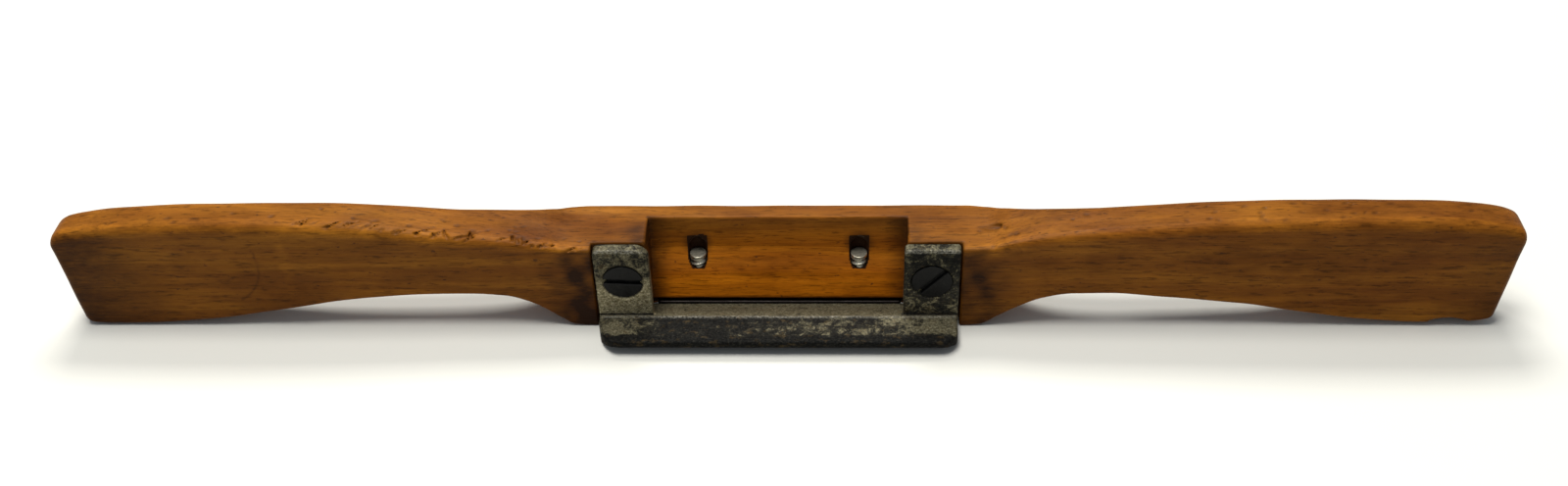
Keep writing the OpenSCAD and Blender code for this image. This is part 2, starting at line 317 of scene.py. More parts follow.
def settle(field, vertices):
    """Moves vertices onto the zero surface along the field's slope."""
    for _ in range(3):
        slope = gradient(field, vertices)
        size = np.maximum((slope ** 2).sum(1), 0.25)
        move = field(*vertices.T)[:, None] * slope / size[:, None]
        vertices = vertices - np.clip(move, -0.2, 0.2)
    return vertices


def steps(low, high, cell, fine=(), fine_cell=0.25):
    """Grid lines from low to high, closer together inside the fine spans."""
    lines = [low]
    while lines[-1] < high:
        close = any(a <= lines[-1] < b for a, b in fine)
        lines.append(lines[-1] + (fine_cell if close else cell))
    return np.array(lines)


def piece(name, field, grid, material, body, node, marks=None):
    """One visible piece: a smooth closed mesh that replaces a CAD node."""
    vertices, faces = surface(field, *grid)
    mesh = bpy.data.meshes.new(name)
    mesh.vertices.add(len(vertices))
    mesh.vertices.foreach_set("co", (vertices / MM).astype(np.float32).ravel())
    mesh.loops.add(faces.size)
    mesh.loops.foreach_set("vertex_index", faces.astype(np.int32).ravel())
    mesh.polygons.add(len(faces))
    mesh.polygons.foreach_set("loop_start", np.arange(0, faces.size, 4, dtype=np.int32))
    mesh.update(calc_edges=True)
    mesh.validate()
    mesh.shade_smooth()
    if marks is not None:
        layer = mesh.color_attributes.new("marks", "FLOAT_COLOR", "POINT")
        values = np.concatenate([marks(*vertices.T), np.ones((len(vertices), 1))], 1)
        layer.data.foreach_set("color", values.astype(np.float32).ravel())
    mesh.materials.append(material)
    obj = bpy.data.objects.new(name, mesh)
    bpy.context.scene.collection.objects.link(obj)
    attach(obj, body)
    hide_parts(node)
    return obj


# ---- stock ---------------------------------------------------------------

def nicks():
    """Dents along the left handle's worn arris and on both tops: centre, radii and lean."""
    rng = np.random.default_rng(SEED)
    dents = []
    for x in rng.uniform(-114, -47, 60):
        top = curve(LEFT_TOP, np.array([-x]))[0]
        place = (x, FRONT + rng.uniform(0.1, 2.6), top - rng.uniform(-0.1, 0.7))
        radii = (rng.uniform(0.3, 0.5), rng.uniform(0.4, 1.4), rng.uniform(0.25, 0.5))
        dents.append((place, radii, rng.uniform(-2.5, 0.5)))
    for side, line in ((1, RIGHT_TOP), (-1, LEFT_TOP)):
        for x in side * rng.uniform(46, 165, 36):
            top = curve(line, np.array([abs(x)]))[0]
            place = (x, FRONT + rng.uniform(0.5, 8), top + 0.12)
            radii = (rng.uniform(0.3, 0.9), rng.uniform(0.3, 0.6), 0.38)
            dents.append((place, radii, rng.uniform(-1, 1)))
    chip_under_right_end = ((160, FRONT + 0.2, 1.4), (4.5, 1.6, 1.3), 0)
    dent_beside_right_lug = ((50.5, FRONT + 8, BLOCK_HEIGHT + 0.55), (3.2, 1.2, 0.8), 0)
    dents += [chip_under_right_end, dent_beside_right_lug]
    return dents


NICKS = nicks()


def of_side(x, left, right):
    """Reads the left or the right handle's curve, whichever side x is on."""
    return np.where(x < 0, curve(left, np.abs(x)), curve(right, np.abs(x)))


def edge_radius(edge, handle):
    radius, growth = edge
    return radius + growth * handle


def stock_section(x, y, z):
    """The stock before anything is cut into it."""
    side = np.abs(x)
    top = of_side(x, LEFT_TOP, RIGHT_TOP)
    under = of_side(x, LEFT_UNDER, RIGHT_UNDER)
    back = FRONT + of_side(x, LEFT_THICKNESS, RIGHT_THICKNESS)
    handle = np.clip((side - BLOCK_HALF) / HANDLE_BLEND, 0, 1)
    middle_y = (FRONT + back) / 2
    middle_z = (under + top) / 2
    upper = z > middle_z
    front_radius = np.where(upper, edge_radius(TOP_FRONT_EDGE, handle),
                            edge_radius(UNDER_FRONT_EDGE, handle))
    back_radius = np.where(upper, edge_radius(TOP_BACK_EDGE, handle),
                           edge_radius(UNDER_BACK_EDGE, handle))
    r = np.where(y < middle_y, front_radius, back_radius)
    q_y = np.abs(y - middle_y) - (back - FRONT) / 2 + r
    q_z = np.abs(z - middle_z) - (top - under) / 2 + r
    outside = np.hypot(np.maximum(q_y, 0), np.maximum(q_z, 0))
    section = outside + np.minimum(np.maximum(q_y, q_z), 0) - r
    end = side - HALF_LENGTH + END_INSET + END_SLOPE * np.maximum(END_BREAK - z, 0)
    return both(section, end, END_ROUND)


def bore_field(side, y, z):
    """Both bores of the adjusting screws, closed in front below their openings."""
    from_axis = np.hypot(side - ADJUSTER_X, y - ADJUSTER_Y)
    bore = np.maximum(from_axis - BORE_RADIUS - BORE_GAP, z - BORE_TOP + 0.5 * from_axis ** 2)
    lip = BORE_LIP + 0.25 * (side - ADJUSTER_X) ** 2 - z
    return np.maximum(bore, lip - 3 * np.maximum(y - ADJUSTER_Y + 1, 0))


def stock_field(x, y, z):
    """The stock with its throat, seats, bores and screw holes."""
    solid = stock_section(x, y, z) + WAVE_HEIGHT * ripple(x, y, z, WAVE_LENGTH, 1) + WOOD_INSET
    side = np.abs(x)
    wall = FRONT + curve(THROAT_WALL, z) + 0.1 * ripple(x, 0 * y, z, 11, 2)
    throat = both(side - THROAT_HALF - THROAT_FLARE * (y - FRONT), y - wall, 0.5)
    throat = np.maximum(throat, -z - BELOW_SOLE)
    lug_space = np.maximum(slab(side, LUG_INNER - 1, LUG_OUTER + INLET_GAP),
                           y - (FRONT + LUG_THICKNESS + INLET_GAP))
    blade_space = np.maximum(np.maximum(side - BLADE_HALF - INLET_GAP, y - PLATE_LOW[1]),
                             z - BLADE_THICKNESS - SEAT_GAP)
    plate_space = np.maximum(np.maximum(side - PLATE_HIGH[0] - PLATE_SIDE_GAP,
                                        PLATE_LOW[1] - 1 - y),
                             z - PLATE_HIGH[2] - PLATE_TRAVEL - SEAT_GAP)
    bore = bore_field(side, y, z)
    for space, rounding in ((throat, 0.45), (lug_space, 0.25), (blade_space, 0.2),
                            (plate_space, 0.2), (bore, 0.2)):
        solid = without(solid, space, rounding)
    from_screw = np.hypot(side - LUG_SCREW_X, z - LUG_SCREW_Z)
    screw_hole = np.maximum(from_screw - LUG_SHANK_RADIUS - BORE_GAP,
                            y - LUG_SCREW_HIGH[1] - 0.4)
    return np.maximum(solid, -screw_hole)


def dent(x, y, z, centre, radii, lean):
    """A small ellipsoid whose length leans along the handle as it goes back."""
    return ball(x + lean * (y - centre[1]), y, z, centre, radii)


def dented_stock(x, y, z):
    """The stock with its dents, over a grid of cells or a list of points."""
    solid = stock_field(x, y, z)
    for centre, radii, lean in NICKS:
        near = np.abs(x - centre[0]) < radii[0] + abs(lean) * radii[1] + 1
        if np.ndim(near) == 1:
            hollow = dent(x[near], y[near], z[near], centre, radii, lean)
            solid[near] = without(solid[near], hollow, DENT_ROUND)
        else:
            span = near[:, 0, 0]
            hollow = dent(x[span], y, z, centre, radii, lean)
            solid[span] = without(solid[span], hollow, DENT_ROUND)
    return solid


def bump_at(value, centre, width):
    """One at the centre, fading to nothing on both sides."""
    return np.exp(-((value - centre) / width) ** 2)


def front_grime_and_shade(x, y, z, front, patchy):
    """Darkening on the front face: painted shade all over it, grime beside the lugs and at the
    ends, and a scratch.
    """
    patches = np.clip(0.9 + 0.4 * ripple(x, y, z, 30, 6), 0, 1)
    # painted shade: the whole front face darker, more on the left handle, in patches
    layers = [np.where(x < 0, 0.36, 0.14) * front * patches]
    for place, reach, strength in LUG_STAINS:
        layers.append(strength * front * bump_at(x, place, reach) * patchy)
    for place, reach, strength in END_STAINS:
        layers.append(strength * front * bump_at(x, place, reach))
    scratch_x, scratch_z = SCRATCH_CENTRE
    scratch = np.abs(np.hypot(x - scratch_x, z - scratch_z) - SCRATCH_RADIUS)
    drawn = front * (x > -130) * (z < 24)
    layers.append(0.8 * drawn * np.clip(1.2 - scratch / 0.5, 0, 1))
    return np.maximum.reduce(layers)


def dent_stains(x, y, z):
    """Dirt that has settled in the dents."""
    darkening = 0 * x
    for centre, radii, lean in NICKS:
        near = np.abs(x - centre[0]) < 2 * radii[0] + abs(lean) * radii[1] + 0.5
        reach = [1.25 * r + 0.15 for r in radii]
        hollow = dent(x[near], y[near], z[near], centre, reach, lean) / min(reach)
        darkening[near] = np.maximum(darkening[near], np.clip(-1.6 * hollow, 0, 0.9))
    return darkening


def block_stains(x, y, z, patchy):
    """Dirt around the lugs, and at the throat's top corners."""
    side = np.abs(x)
    near_lug = np.maximum(LUG_INNER - side, side - LUG_OUTER)
    from_lug = np.maximum(near_lug, 0) + np.maximum(y - FRONT - LUG_THICKNESS, 0)
    layers = [0.8 * bump_at(from_lug, 0, 1.2) * (z > 4)]
    for place_x, place_y, reach_x, reach_y, strength in CORNER_STAINS:
        corner = bump_at(x, place_x, reach_x) * bump_at(y, place_y, reach_y) * (z > 20)
        layers.append(strength * corner * patchy)
    return np.maximum.reduce(layers)


def throat_painted_shade(side, y, z, in_throat):
    """Painted shade around and inside the bores, at the throat's ends, and along the mouth."""
    above_screws = np.hypot(side - ADJUSTER_X, z - 16.2)
    in_bore = np.hypot(side - ADJUSTER_X, y - ADJUSTER_Y) < BORE_RADIUS + 0.4
    return np.maximum.reduce([
        1.3 * in_throat * np.clip(1.5 - above_screws / 2.8, 0, 1),
        1.1 * in_throat * np.clip((side - 25.5) / 5.5, 0, 1),
        1.6 * in_throat * np.clip((2.5 - z) / 0.9, 0, 1),
        3.0 * in_bore * (z > BORE_LIP) * (z < BORE_TOP + 0.3),
    ])


def stock_marks(x, y, z):
    """Red: darkening: black grime in the dents, around the lugs, at the ends and in a scratch,
    and painted shade on the front faces and inside the throat. Green: wear that shows paler
    wood. Blue: cleaner wood in the throat, with painted light lower down and painted shade on
    its ledge.
    """
    side = np.abs(x)
    front = np.clip(1 - (y - FRONT) / 1.5, 0, 1)
    patchy = np.clip(0.75 + 0.35 * ripple(x, y, z, 5, 3), 0, 1)
    in_throat = (side < THROAT_HALF + 0.3) & (y > FRONT + 6) & (y < FRONT + 12.9) & (z > 0.5)
    darkening = np.maximum.reduce([
        front_grime_and_shade(x, y, z, front, patchy),
        dent_stains(x, y, z),
        block_stains(x, y, z, patchy),
        throat_painted_shade(side, y, z, in_throat),
    ])
    top = of_side(x, LEFT_TOP, RIGHT_TOP)
    arris = np.hypot(y - FRONT - 1.0, z - top + 1.0)
    worn = 0.75 + 0.4 * ripple(x, y, z, 9, 4)
    wear = np.clip(1.9 - arris / 1.3, 0, 1) * worn * (side > 44)
    pale_band = front * bump_at(x, PALE_BAND_X, 1.2) * (z > 10)
    wear = np.maximum(wear, 0.5 * pale_band)
    # painted light lower in the throat and painted shade over the ledge's highlight, on the
    # cleaner wood
    clean_and_painted_light = np.clip((23 - z) / 15, 0.05, 1) * (1 - 0.5 * bump_at(z, 11.2, 1.6))
    return np.stack([np.clip(darkening, 0, 3), np.clip(wear, 0, 1), in_throat * clean_and_painted_light], 1)


# ---- metal pieces --------------------------------------------------------

def rounded_corner(q_a, q_b, radius):
    """Outline of a corner, from how far a point is past each side's rounding."""
    return (np.hypot(np.maximum(q_a, 0), np.maximum(q_b, 0))
            + np.minimum(np.maximum(q_a, q_b), 0) - radius)


def lug_field(x, y, z, side):
    """One lug; the inner top corner of the left one is the roundest."""
    across = x * side
    outer_radius, inner_radius = LUG_CORNERS[side]
    radius = np.where(across > LUG_MIDDLE, outer_radius, inner_radius)
    q_x = np.abs(across - LUG_MIDDLE) - (LUG_OUTER - LUG_INNER) / 2 + radius
    q_z = z - CUTTER_HIGH[2] + radius
    outline = rounded_corner(q_x, q_z, radius)
    plate = both(outline, slab(y, FRONT, FRONT + LUG_THICKNESS), 0.35)
    return np.maximum(plate, LUG_FOOT - z)


def blade_field(x, y, z):
    """The flat blade, with its heel's corners, the slope under the heel, and the bevel."""
    wide, deep = LEFT_HEEL_CORNER
    radius = np.where(x < 0, deep, HEEL_RADIUS)
    corner_x = (np.abs(x) - BLADE_HALF) * np.where(x < 0, deep / wide, 1) + radius
    corner_y = CUTTER_LOW[1] + radius - y
    blade = both(rounded_corner(corner_x, corner_y, radius), slab(z, 0, BLADE_THICKNESS),
                 BLADE_ROUND)
    lift = HEEL_LIFT - z + HEEL_LIFT / HEEL_SLOPE * (CUTTER_LOW[1] - y)
    blade = both(blade, lift, 0.4)
    bevel = z * math.cos(BEVEL_ANGLE) - (EDGE_Y - y) * math.sin(BEVEL_ANGLE)
    return both(blade, bevel, SHARP_ROUND)


def cutter_field(x, y, z):
    """Blade and lugs, with the countersunk holes for the lug screws."""
    lugs = np.minimum(lug_field(x, y, z, -1), lug_field(x, y, z, 1))
    solid = np.minimum(blade_field(x, y, z), lugs)
    head = np.maximum(LUG_HEAD_RADIUS - np.maximum(y - FRONT - HEAD_RIM, 0), LUG_SHANK_RADIUS)
    hole = np.hypot(np.abs(x) - LUG_SCREW_X, z - LUG_SCREW_Z) - head - LUG_HEAD_GAP
    solid = both(solid, -np.maximum(hole, 5 - z), 0.12)
    worn = solid + 0.03 * ripple(x, y, z, 7, 5) + 0.02
    return np.maximum(worn, 0.02 - z)


def slot_cut(u, v, w, angle, half_width, depth):
    """Straight slot across a screw head; w is the depth below its face."""
    across = -u * math.sin(angle) + v * math.cos(angle)
    return np.maximum(np.abs(across) - half_width, w - depth)


def helix(radius, angle, along, pitch, root, depth):
    """Threaded rod: a rounded V ridge that winds around the axis."""
    phase = (along - pitch * angle / (2 * math.pi)) / pitch
    ridge = 1 - np.abs(2 * (phase - np.floor(phase)) - 1)
    crest = root + depth * np.clip(ridge * 1.8 - 0.55, 0, 1)
    return (radius - crest) * 0.8


def lug_screw_field(side):
    """Countersunk wood screw, pointing away from the front face."""
    length = LUG_SCREW_HIGH[1] - FRONT

    def field(x, y, z):
        u = x - side * LUG_SCREW_X
        v = z - LUG_SCREW_Z
        w = y - FRONT
        radius = np.hypot(u, v)
        head = both(radius - LUG_HEAD_RADIUS + 0.7 * np.maximum(w - HEAD_RIM, 0) + 0.05,
                    slab(w, 0.05, LUG_HEAD_RADIUS - LUG_SHANK_RADIUS + 0.3), 0.15)
        taper = LUG_SHANK_RADIUS * np.clip((length - w) / LUG_TAPER, 0.05, 1)
        thread = helix(radius, np.arctan2(v, u), w, LUG_THREAD_PITCH, taper * 0.75, taper * 0.22)
        shank = np.where(w < LUG_THREAD_START, radius - LUG_SHANK_RADIUS + 0.05, thread)
        shank = np.maximum(shank, slab(w, 0.6, length - 0.1))
        slot = slot_cut(u, v, w, LUG_SLOT_ANGLES[side], *LUG_SLOT)
        return without(np.minimum(head, shank), slot, 0.12)
    return field


def adjuster_field(side):
    """Countersunk machine screw, pointing up, with a flat disc above its last turn."""
    def field(x, y, z):
        u = x - side * ADJUSTER_X
        v = y - ADJUSTER_Y
        radius = np.hypot(u, v)
        head = both(radius - ADJUSTER_HEAD_RADIUS + np.maximum(z - HEAD_RIM, 0),
                    slab(z, 0.02, 1.2), 0.1)
        root = ADJUSTER_RADIUS - THREAD_DEPTH
        thread = helix(radius, np.arctan2(v, u), z, ADJUSTER_PITCH, root, THREAD_DEPTH)
        rod = np.where(z < ADJUSTER_THREAD_START, radius - ADJUSTER_RADIUS + 0.03, thread)
        rod = np.maximum(rod, slab(z, 0.5, ADJUSTER_TOP - 0.02))
        disc = np.maximum(radius - ADJUSTER_RADIUS + 0.02,
                          slab(z, ADJUSTER_TOP - ADJUSTER_DISC, ADJUSTER_TOP))
        rod = both(np.minimum(rod, disc), z - ADJUSTER_TOP + 0.02, 0.12)
        slot = slot_cut(u, v, z, ADJUSTER_SLOT_ANGLES[side], *ADJUSTER_SLOT)
        return without(np.minimum(head, rod), slot, 0.1)
    return field


def plate_field(x, y, z):
    """Thin plate with two countersunk holes."""
    low = PLATE_LOW + [0, -MOUTH_LIP, 0.02]
    high = PLATE_HIGH - [0, 0.02, 0.02]
    radius = np.hypot(np.abs(x) - ADJUSTER_X, y - ADJUSTER_Y)
    rim = np.maximum(ADJUSTER_HEAD_RADIUS + ADJUSTER_GAP - np.maximum(z - 0.3, 0),
                     ADJUSTER_RADIUS + ADJUSTER_GAP)
    return both(block(x, y, z, low, high, PLATE_ROUND), rim - radius, 0.1)


def plate_marks(x, y, z):
    """Red: black grime and painted shade along the mouth."""
    dirt_and_shade = np.clip((PLATE_LOW[1] + 1.6 - y) / 0.8, 0, 1)
    return np.stack([dirt_and_shade, 0 * x, 0 * x], 1)


def lug_patina(x, z):
    left, left_rise = LEFT_LUG_PATINA
    right, right_rise = RIGHT_LUG_PATINA
    patina = np.where(x < 0, left + left_rise * np.clip((z - 8) / 9, 0, 1),
                      right + right_rise * np.clip((z - 6) / 8, 0, 1))
    return np.where(z > CUTTER_HIGH[2] - 0.45, LUG_TOP_PATINA, patina)


def blade_patina(x, y, z):
    """Darkest on the blade's sides and underside and at the heel, with painted shade at the very
    edge.
    """
    top = curve(BLADE_PATINA, x) + 0.15 * bump_at(y, ARRIS_Y - 1, 1.2) * bump_at(x, -12, 20)
    heel = np.clip((CUTTER_LOW[1] + 3.6 - y) / 2.4, 0, 1)
    patina = np.maximum(top, 0.3 + 0.75 * heel)
    patina = np.where((z < BLADE_THICKNESS - 0.5) & (y < ARRIS_Y), 1.1, patina)
    # painted shade: the cutting edge darkened where it meets the mouth
    painted_edge_shade = np.clip((y - FRONT - SHARP_SETBACK + 1.1) / 0.5, 0, 1)
    bevel = BEVEL_PATINA + 0.1 * bump_at(y, ARRIS_Y, 0.6) + painted_edge_shade
    return np.where(y > ARRIS_Y + 0.15, bevel, patina)


def cutter_marks(x, y, z):
    """Red: how dark the patina is, with grime and painted shade at each lug's foot and painted
    shade at the very edge. Green: rubbed edges. Blue: paler steel, low on the lugs.
    """
    side = np.abs(x)
    on_blade = (y < FRONT - 0.05) | (z < BLADE_FACE) | (side < LUG_INNER - 0.4)
    patina = np.where(on_blade, blade_patina(x, y, z), lug_patina(x, z))
    # grime and painted shade in the inside corner where each lug rises from the blade
    crease_dirt_and_shade = bump_at(y, FRONT, 0.35) * bump_at(z, 3.75, 0.5) * (side > LUG_INNER - 0.3)
    patina = np.maximum(patina, crease_dirt_and_shade)
    rub = np.maximum(bump_at(y, ARRIS_Y, 0.5) * (z > BLADE_THICKNESS - 0.4),
                     bump_at(y, FRONT, 0.3) * (z > CUTTER_HIGH[2] - 0.8))
    bare = (1 - on_blade) * np.clip((19 - z) / 8, 0, 1)
    return np.stack([np.clip(patina, 0, 1.2), rub * 0.8, bare], 1)


# ---- materials -----------------------------------------------------------

# Linear colours, dark to pale
WOOD_FIGURE = [(0.28, (0.115, 0.0335, 0.0045)), (0.5, (0.180, 0.060, 0.0065)),
               (0.72, (0.265, 0.098, 0.0100))]
WOOD_PATCHES = [(0.34, (0.55, 0.50, 0.48)), (0.5, 1.0), (0.64, (1.22, 1.25, 1.1))]
WOOD_RING_LINES = [(0.40, 1.0), (0.445, 0.62), (0.47, 1.0), (0.55, 1.0), (0.585, 0.66),
                   (0.61, 1.0)]
# the throat's wood colour, which also paints light lower in the throat
CLEAN_WOOD_AND_PAINTED_LIGHT = (3.1, 2.65, 0.8)          # multiplies the wood's colour inside the throat
RUBBED_WOOD = (1.6, 1.65, 1.4)         # multiplies it on the worn arris
# black of the grime in dents and around the lugs, and of the painted shade on the front faces
# and in the throat
WOOD_DIRT_AND_SHADE = (0.020, 0.0075, 0.003)
WOOD_SPECK = (0.035, 0.014, 0.006)
STEEL_PALE = [(0.36, (0.055, 0.048, 0.026)), (0.5, (0.102, 0.090, 0.054)),
              (0.64, (0.195, 0.176, 0.114))]
STEEL_PATINA = [(0.36, (0.004, 0.004, 0.0038)), (0.56, (0.010, 0.0098, 0.0085)),
                (0.68, (0.035, 0.032, 0.024))]
STEEL_BARE = (2.4, 2.35, 2.3)          # multiplies the steel's colour low on the lugs
STEEL_RUST = (0.085, 0.056, 0.022)
STEEL_RUBBED = (0.40, 0.38, 0.31)
SCREW_STEEL = [(0.3, (0.004, 0.004, 0.004)), (0.6, (0.009, 0.0088, 0.008)),
               (0.78, (0.028, 0.027, 0.024))]
BRASS_PALE = (0.42, 0.30, 0.12)
BRASS_DEEP = (0.12, 0.085, 0.04)
BRONZE_PALE = (0.62, 0.58, 0.45)
BRONZE_DEEP = (0.16, 0.145, 0.11)
# black of the grime and the painted shade along the plate's mouth edge
BRASS_DIRT_AND_SHADE = (0.006, 0.004, 0.003)
FLOOR = [(0.3, (0.62, 0.612, 0.56)), (0.7, (0.64, 0.634, 0.58))]


class Shader:
    """A material whose nodes are added one call at a time."""

    def __init__(self, name):
        self.material = bpy.data.materials.new(name)
        self.material.use_nodes = True
        self.tree = self.material.node_tree
        self.surface = self.tree.nodes["Principled BSDF"]
        self.place = self.add("ShaderNodeTexCoord").outputs["Object"]

    def add(self, kind, inputs=None, **settings):
        """A node; each input is a socket to link or a value to set."""
        node = self.tree.nodes.new(kind)
        for key, value in settings.items():
            setattr(node, key, value)
        for key, value in (inputs or {}).items():
            if isinstance(value, bpy.types.NodeSocket):
                self.tree.links.new(value, node.inputs[key])
            else:
                node.inputs[key].default_value = value
        return node

    def noise(self, per_mm, detail=4, roughness=0.6, distortion=0.0, offset=0.0):
        """Noise with its number of cells per millimetre given along X, Y and Z."""
        scale = tuple(v * MM for v in per_mm)
        shift = (offset, offset * 0.7, offset * 0.3)
        place = self.add("ShaderNodeMapping", {
            "Vector": self.place, "Scale": scale, "Location": shift})
        return self.add("ShaderNodeTexNoise", {
            "Vector": place.outputs[0], "Scale": 1.0, "Detail": detail,
            "Roughness": roughness, "Distortion": distortion}).outputs["Fac"]

    def ramp(self, fac, *stops):
        """Colour ramp; each stop is a place and a colour or a grey level."""
        node = self.add("ShaderNodeValToRGB", {"Fac": fac})
        band = node.color_ramp
        while len(band.elements) < len(stops):
            band.elements.new(0.5)
        for element, (place, colour) in zip(band.elements, stops):
            element.position = place
            level = colour if isinstance(colour, tuple) else (colour,) * 3
            element.color = (*level, 1)
        return node.outputs["Color"]

    def mix(self, fac, a, b, mode="MIX"):
        """Colour a blended with colour b."""
        node = self.add("ShaderNodeMix", data_type="RGBA", blend_type=mode)
        for socket, value in ((node.inputs[0], fac), (node.inputs[6], a), (node.inputs[7], b)):
            if isinstance(value, bpy.types.NodeSocket):
                self.tree.links.new(value, socket)
            elif isinstance(value, tuple):
                socket.default_value = (*value, 1)
            else:
                socket.default_value = value
        return node.outputs[2]

    def math(self, operation, *values, clamp=False):
        node = self.add("ShaderNodeMath", operation=operation, use_clamp=clamp)
        for socket, value in zip(node.inputs, values):
            if isinstance(value, bpy.types.NodeSocket):
                self.tree.links.new(value, socket)
            else:
                socket.default_value = value
        return node.outputs[0]

    def marks(self):
        """The three channels that the mesh carries at its vertices."""
        node = self.add("ShaderNodeVertexColor", layer_name="marks")
        return self.add("ShaderNodeSeparateColor", {"Color": node.outputs["Color"]}).outputs

    def bumps(self, *layers):
        """Stacked bumps; each layer is a height and how tall it is, in millimetres."""
        normal = None
        for height, tall in layers:
            inputs = {"Height": height, "Distance": tall / MM, "Strength": 1.0}
            if normal is not None:
                inputs["Normal"] = normal
            normal = self.add("ShaderNodeBump", inputs).outputs["Normal"]
        self.tree.links.new(normal, self.surface.inputs["Normal"])

    def finish(self, colour, roughness, **fixed):
        """Links the colour and the roughness, and sets the shader's fixed values."""
        for key, value in (("Base Color", colour), ("Roughness", roughness)):
            self.tree.links.new(value, self.surface.inputs[key])
        for key, value in fixed.items():
            self.surface.inputs[key.replace("_", " ")].default_value = value
        return self.material


def wood_material():
    """Fine straight-grained hardwood under old, worn varnish."""
    s = Shader("varnished_wood")
    # first mark: grime and painted shade; third mark: cleaner throat wood with painted light and
    # shade
    darkening, wear, throat = s.marks()[:3]
    figure = s.noise((0.011, 0.10, 0.15), detail=3, distortion=0.6)
    colour = s.ramp(figure, *WOOD_FIGURE)
    streak = s.noise((0.022, 0.55, 0.85), detail=5, roughness=0.65, distortion=0.3, offset=3)
    streaks = s.ramp(streak, (0.3, 0.62), (0.55, 1.0), (0.75, 1.18))
    colour = s.mix(0.55, colour, streaks, "MULTIPLY")
    fibre = s.noise((0.10, 3.2, 3.6), detail=3, roughness=0.7, offset=5)
    colour = s.mix(0.7, colour, s.ramp(fibre, (0.33, 0.66), (0.52, 1.0)), "MULTIPLY")
    pores = s.noise((0.24, 1.9, 1.9), detail=3, offset=9)
    colour = s.mix(0.7, colour, s.ramp(pores, (0.34, 0.35), (0.45, 1.0)), "MULTIPLY")
    patches = s.noise((0.045, 0.09, 0.09), detail=6, roughness=0.65, offset=13)
    colour = s.mix(0.65, colour, s.ramp(patches, *WOOD_PATCHES), "MULTIPLY")
    orange = s.mix(1.0, colour, CLEAN_WOOD_AND_PAINTED_LIGHT, "MULTIPLY")
    rings = s.noise((0.02, 0.5, 0.9), detail=2, distortion=1.4, offset=21)
    orange = s.mix(0.75, orange, s.ramp(rings, *WOOD_RING_LINES), "MULTIPLY")
    colour = s.mix(throat, colour, orange)
    rubbed = s.mix(1.0, colour, RUBBED_WOOD, "MULTIPLY")
    breakup = s.noise((0.25, 0.8, 0.8), detail=5, roughness=0.7, offset=17)
    worn = s.math("MULTIPLY", wear, s.ramp(breakup, (0.32, 0.0), (0.62, 1.0)))
    colour = s.mix(worn, colour, rubbed)
    # grime and painted shade darken the wood where the first mark says
    dirt_and_shade = s.math("MULTIPLY", darkening, s.ramp(breakup, (0.2, 0.92), (0.85, 0.45)), clamp=True)
    colour = s.mix(dirt_and_shade, colour, WOOD_DIRT_AND_SHADE)
    specks = s.noise((0.45, 1.2, 1.2), detail=3, offset=31)
    colour = s.mix(s.ramp(specks, (0.67, 0.0), (0.71, 0.75)), colour, WOOD_SPECK)
    roughness = s.ramp(s.noise((0.05, 0.3, 0.3), detail=5, offset=27), (0.3, 0.30), (0.7, 0.52))
    tool_marks = s.noise((0.03, 0.05, 0.05), detail=2, offset=41)
    s.bumps((tool_marks, 0.9), (streak, 0.05), (fibre, 0.025), (pores, 0.02))
    return s.finish(colour, roughness, Specular_IOR_Level=0.04)


def steel_material():
    """Forged blade steel: olive-grey where rubbed, near-black patina elsewhere."""
    s = Shader("patinated_steel")
    dark, rub, bare = s.marks()[:3]
    coast = s.noise((0.34, 0.40, 0.40), detail=10, roughness=0.78, distortion=0.5)
    fine = s.noise((1.8, 2.0, 2.0), detail=5, roughness=0.75, offset=4)
    blend = s.math("ADD", s.math("MULTIPLY", coast, 0.65), s.math("MULTIPLY", fine, 0.35))
    # the first mark also holds painted shade at the very edge and at each lug's foot
    level = s.math("SUBTRACT", s.math("ADD", dark, s.math("MULTIPLY", blend, 3.2)), 1.6)
    patina = s.ramp(level, (0.46, 0.0), (0.50, 0.9), (0.80, 1.0))
    colour = s.mix(patina, s.ramp(fine, *STEEL_PALE), s.ramp(fine, *STEEL_PATINA))
    colour = s.mix(bare, colour, s.mix(1.0, colour, STEEL_BARE, "MULTIPLY"))
    rust = s.noise((0.4, 0.6, 0.6), detail=5, offset=8)
    colour = s.mix(s.ramp(rust, (0.56, 0.0), (0.7, 0.45)), colour, STEEL_RUST)
    rubbed = s.math("MULTIPLY", rub, s.ramp(fine, (0.4, 0.0), (0.6, 0.7)))
    colour = s.mix(rubbed, colour, STEEL_RUBBED)
    brushed = s.noise((0.15, 5.0, 5.0), detail=3, offset=12)
    colour = s.mix(0.35, colour, s.ramp(brushed, (0.35, 0.6), (0.6, 1.15)), "MULTIPLY")
    pits = s.noise((2.0, 2.0, 2.0), detail=5, roughness=0.75, offset=19)
    colour = s.mix(0.8, colour, s.ramp(pits, (0.38, 0.25), (0.5, 0.9), (0.62, 1.5)), "MULTIPLY")
    roughness = s.ramp(level, (0.3, 0.45), (0.8, 0.75))
    s.bumps((coast, 0.05), (fine, 0.06), (brushed, 0.012))
    return s.finish(colour, roughness, Metallic=0.25, Specular_IOR_Level=0.05)


def dark_screw_material():
    """Blackened screw steel, slightly grimy."""
    s = Shader("blackened_steel")
    grime = s.noise((0.7, 0.7, 0.7), detail=6, roughness=0.7)
    fine = s.noise((2.2, 2.2, 2.2), detail=3, offset=3)
    colour = s.ramp(grime, *SCREW_STEEL)
    colour = s.mix(0.5, colour, s.ramp(fine, (0.35, 0.6), (0.65, 1.3)), "MULTIPLY")
    s.bumps((grime, 0.03), (fine, 0.03))
    return s.finish(colour, s.ramp(grime, (0.3, 0.38), (0.7, 0.6)), Metallic=0.3,
                    Specular_IOR_Level=0.15)


